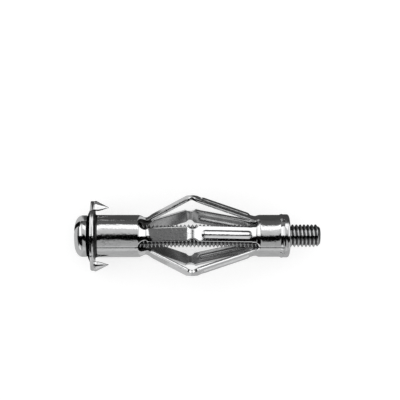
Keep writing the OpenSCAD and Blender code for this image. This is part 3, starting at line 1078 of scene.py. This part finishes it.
class ANCHOR_OT_finishes(bpy.types.Operator):
    """Makes the plated zinc and the black finishes"""

    bl_idname = "anchor.finishes"
    bl_label = "Finishes"

    def execute(self, context):
        f = context.scene.anchor_finish
        screw = context.scene.anchor_screw
        groove = (screw.root_r + 0.00005, screw.thread_r - 0.0001)
        inside = tuple(c * INSIDE_SHADE for c in f.sheet_colour)
        edge = tuple(c * EDGE_SHADE for c in f.sheet_colour)
        black = tuple(f.washer_colour)
        shine = tuple(c * WASHER_LIGHT for c in black)
        grain_group()
        plated("plated_sheet", f.sheet_colour, f.sheet_rough, 1500.0, 0.4, 0.000034 * f.grain)
        plated("plated_nut", f.nut_colour, f.sheet_rough + 0.03, 2600.0, 1.0, 0.000002 * f.grain)
        plated("plated_head", f.head_colour, f.sheet_rough, 2400.0, 1.0, 0.0000025 * f.grain)
        # The thread's grooves get painted shade.
        plated("plated_thread", f.thread_colour, f.thread_rough, 3000.0, 1.0, 0.000002 * f.grain, dull=0.2,
               groove=groove)
        # The sleeve's inner faces: the plate darkened as painted shade.
        plated("inside_painted_shade", inside, 0.2, 1500.0, 0.5, 0.000003 * f.grain, spread=0.15, dull=0.2)
        # Dark cut edges, and painted shade in the relief holes, the fillet under the flange and the screw
        # head's recess.
        plated("cut_edge_and_painted_shade", edge, 0.35, 2600.0, 0.3, 0.000006 * f.grain, spread=0.2, dull=0.3)
        grained("washer_black", [(0.35, black), (0.7, shine)], 0.6, 3200.0, 1.0, 0.000003, 0.16,
                metal=0.0, gloss=0.0)
        return {"FINISHED"}


# ---------- stage ----------

# Brightness of the light tent round the screw axis: degrees from straight up towards -Y
TENT_ROUND = [
    (-180, 0.1), (-150, 0.12), (-124, 0.05), (-90, 0.08), (-66, 0.11), (-62, 0.05), (-57, 1.25), (-38, 1.25),
    (-34, 0.65), (-8, 0.5), (-4, 0.0), (25, 0.0), (29, 0.36), (62, 0.4), (70, 0.55), (122, 0.6), (134, 0.2),
    (180, 0.1),
]
# The same for light that comes in near the screw axis, as a share of the brightness along it
TENT_ENDS = [
    (-180, 0.03), (-80, 0.05), (-70, 0.3), (-62, 1.0), (3, 1.0), (6, 0.0), (38, 0.0), (42, 0.4), (70, 0.5),
    (84, 0.58), (118, 0.55), (135, 0.1), (180, 0.03),
]
# The same on the head's side
TENT_HEAD = [
    (-180, 0.03), (-80, 0.05), (-70, 0.3), (-62, 1.0), (0, 1.0), (3, 0.0), (56, 0.0), (60, 0.4),
    (84, 0.75), (118, 0.7), (135, 0.1), (180, 0.03),
]
# Brightness along the screw axis: degrees from upright towards +X
TENT_ALONG = [
    (-90, 0.1), (-68, 0.13), (-53, 0.16), (-47, 1.2), (-19, 1.2), (-12, 0.6), (12, 0.6), (19, 1.25),
    (50, 1.25), (60, 0.12), (76, 0.03), (90, 0.03),
]
TENT_LEAN = -0.19  # turns by which TENT_ROUND is shifted from the tent's middle to its +X end
TENT_SIDES = [(0.49, 0.0), (0.51, 1.0)]  # from TENT_HEAD to TENT_ENDS, along the axis
# From TENT_ROUND at 0 to the other three at 1, by twice the direction's X plus 0.5
TENT_FAR = [(0.34, 1.0), (0.39, 0.0), (0.77, 0.0), (0.83, 1.0)]

FLOOR_SHADE = 0.62  # share of the floor's colour that takes shadows
FLOOR_LIFT = 0.6  # light that the floor adds for the camera
FLOOR_GAP = 0.00001
# Painted light and shade that the floor shows only in reflections, over these lengths across and along the
# screw with 0 in their middle: dark on the +Y side for the shade there, lighter elsewhere
ACROSS_SPAN, ALONG_SPAN = 0.05, 0.1
FLOOR_ACROSS = [(0.0, 0.42), (0.5, 0.42), (0.6, 0.0), (1.0, 0.0)]
FLOOR_ALONG = [
    (0.0, 0.5), (0.44, 0.5), (0.47, 0.06), (0.635, 0.07), (0.65, 0.55), (0.745, 0.55), (0.77, 0.07),
    (1.0, 0.06),
]

LAMP_POWER, LAMP_SIZE = 0.18, 0.35
LAMP_AT, LAMP_AIM = (-0.1, 0.12, 0.42), (0.027, 0, 0)


def by_degrees(table, span):
    """Turns degrees either side of 0 into places on a ramp."""
    return [((d + span / 2) / span, v) for d, v in table]


def floor_finish(s):
    """A pale floor that is plain to the camera and in reflections glows with painted light and shade."""
    b = new_material("pale_floor")
    lit = b.add("ShaderNodeBsdfDiffuse", {"Color": (*s.floor_colour, 1)})
    shade = (*(c * FLOOR_SHADE for c in s.floor_colour), 1)
    shaded = b.add("ShaderNodeBsdfDiffuse", {"Color": shade})
    lift = b.add("ShaderNodeEmission", {"Color": (1, 1, 1, 1), "Strength": FLOOR_LIFT})
    camera_side = b.add("ShaderNodeAddShader", {0: shaded.outputs[0], 1: lift.outputs[0]})
    where = b.add("ShaderNodeTexCoord")
    x, y, _ = b.add("ShaderNodeSeparateXYZ", {0: where.outputs["Object"]}).outputs
    # Painted reflection: for glossy rays only, the floor glows with this pattern, dark where it stands in for
    # shade.
    near = b.ramp(b.line(y, 1 / ACROSS_SPAN, 0.5), FLOOR_ACROSS)
    beside = b.ramp(b.line(x, 1 / ALONG_SPAN, 0.5), FLOOR_ALONG)
    painted_reflection = b.mix(1.0, near, beside, "LIGHTEN")
    painted_glow = b.add("ShaderNodeEmission", {"Color": painted_reflection})
    rays = b.add("ShaderNodeLightPath").outputs
    sides = {0: rays["Is Glossy Ray"], 1: lit.outputs[0], 2: painted_glow.outputs[0]}
    glossy = b.add("ShaderNodeMixShader", sides)
    sides = {0: rays["Is Camera Ray"], 1: glossy.outputs[0], 2: camera_side.outputs[0]}
    seen = b.add("ShaderNodeMixShader", sides)
    b.add("ShaderNodeOutputMaterial", {"Surface": seen.outputs[0]})


class ANCHOR_OT_stage(bpy.types.Operator):
    """Sets up the pale floor, the light tent, the lamp and the camera"""

    bl_idname = "anchor.stage"
    bl_label = "Stage"

    def execute(self, context):
        s = context.scene.anchor_studio
        scene = context.scene
        scene.view_settings.view_transform = "Standard"
        self.tent(scene, s)
        self.floor(s)
        self.lamp(scene)
        self.camera(scene, s)
        return {"FINISHED"}

    def tent(self, scene, s):
        """Lights from all round, and shows bright and dark panels in reflections."""
        scene.world = bpy.data.worlds.new("light_tent")
        scene.world.use_nodes = True
        b = Board(scene.world.node_tree)
        where = b.add("ShaderNodeTexCoord")
        x, y, z = b.add("ShaderNodeSeparateXYZ", {0: where.outputs["Generated"]}).outputs
        turn = b.math("ARCTAN2", b.math("MULTIPLY", y, -1.0), z)
        turn = b.math("ADD", b.math("DIVIDE", turn, 2 * math.pi), 0.5)
        tilt = b.math("ARCSINE", x)
        tilt = b.math("ADD", b.math("DIVIDE", tilt, math.pi), 0.5)
        lean = b.line(x, TENT_LEAN, turn)
        ring = b.ramp(lean, by_degrees(TENT_ROUND, 360))
        along = b.ramp(tilt, by_degrees(TENT_ALONG, 180))
        head = b.ramp(turn, by_degrees(TENT_HEAD, 360))
        tip = b.ramp(turn, by_degrees(TENT_ENDS, 360))
        share = b.mix(b.ramp(tilt, TENT_SIDES), head, tip)
        ends = b.mix(1.0, along, share, "MULTIPLY")
        far = b.ramp(b.line(x, 2.0, 0.5), TENT_FAR)
        panels = b.mix(far, ring, ends)
        rays = b.add("ShaderNodeLightPath").outputs
        plain = b.mix(rays["Is Glossy Ray"], (s.fill, s.fill, s.fill, 1), panels)
        seen = b.mix(rays["Is Camera Ray"], plain, (1, 1, 1, 1))
        back = b.add("ShaderNodeBackground", {"Color": seen})
        b.add("ShaderNodeOutputWorld", {"Surface": back.outputs[0]})

    def floor(self, s):
        deselect()
        bpy.ops.mesh.primitive_plane_add(size=3.0, location=(0, 0, 0))
        obj = named("floor")
        obj.data.transform(Matrix.Translation((0, 0, CAD_BOX[0][2] - FLOOR_GAP)))
        floor_finish(s)
        dress(obj, "pale_floor")

    def lamp(self, scene):
        light = bpy.data.lights.new("softbox", "AREA")
        light.energy = LAMP_POWER
        light.size = LAMP_SIZE
        obj = bpy.data.objects.new("softbox", light)
        scene.collection.objects.link(obj)
        obj.location = LAMP_AT
        aim = Vector(LAMP_AIM) - Vector(LAMP_AT)
        obj.rotation_euler = aim.to_track_quat("-Z", "Y").to_euler()
        obj.visible_glossy = False

    def camera(self, scene, s):
        data = bpy.data.cameras.new("camera")
        data.lens = s.lens
        data.sensor_width = 36.0
        data.clip_start = 0.01
        obj = bpy.data.objects.new("camera", data)
        scene.collection.objects.link(obj)
        e = s.elevation
        up = Vector((0, math.sin(e), math.cos(e)))
        aim = Vector((s.aim_x, 0, 0)) + up * s.aim_up
        eye = aim + Vector((0, -math.cos(e), math.sin(e))) * s.distance
        eye.x = s.camera_x
        back = (eye - aim).normalized()
        right = up.cross(back).normalized()
        turn = Matrix((right, back.cross(right), back)).transposed()
        obj.matrix_world = Matrix.Translation(eye) @ turn.to_4x4()
        scene.camera = obj


# ---------- panel and run ----------


class ANCHOR_PT_panel(bpy.types.Panel):
    """Lists the pieces of the anchor"""

    bl_idname = "ANCHOR_PT_panel"
    bl_label = "Cavity anchor"
    bl_space_type = "VIEW_3D"
    bl_region_type = "UI"
    bl_category = "Anchor"

    def draw(self, context):
        for cls in OPERATORS:
            self.layout.operator(cls.bl_idname)


SETTINGS = {
    "anchor_sleeve": SleeveSizes,
    "anchor_nut": NutSizes,
    "anchor_screw": ScrewSizes,
    "anchor_washer": WasherSizes,
    "anchor_finish": FinishSettings,
    "anchor_studio": StudioSettings,
}
OPERATORS = (
    ANCHOR_OT_stage,
    ANCHOR_OT_finishes,
    ANCHOR_OT_sleeve,
    ANCHOR_OT_nut,
    ANCHOR_OT_screw,
    ANCHOR_OT_washer,
)


def register():
    for name, cls in SETTINGS.items():
        bpy.utils.register_class(cls)
        setattr(bpy.types.Scene, name, bpy.props.PointerProperty(type=cls))
    for cls in OPERATORS + (ANCHOR_PT_panel,):
        bpy.utils.register_class(cls)


def unregister():
    for cls in (ANCHOR_PT_panel,) + OPERATORS[::-1]:
        bpy.utils.unregister_class(cls)
    for name, cls in SETTINGS.items():
        delattr(bpy.types.Scene, name)
        bpy.utils.unregister_class(cls)


def main():
    register()
    for step in (
        bpy.ops.anchor.stage,
        bpy.ops.anchor.finishes,
        bpy.ops.anchor.sleeve,
        bpy.ops.anchor.nut,
        bpy.ops.anchor.screw,
        bpy.ops.anchor.washer,
    ):
        if step() != {"FINISHED"}:
            raise RuntimeError("a step of the dressing didn't finish")


if __name__ == "__main__":
    main()
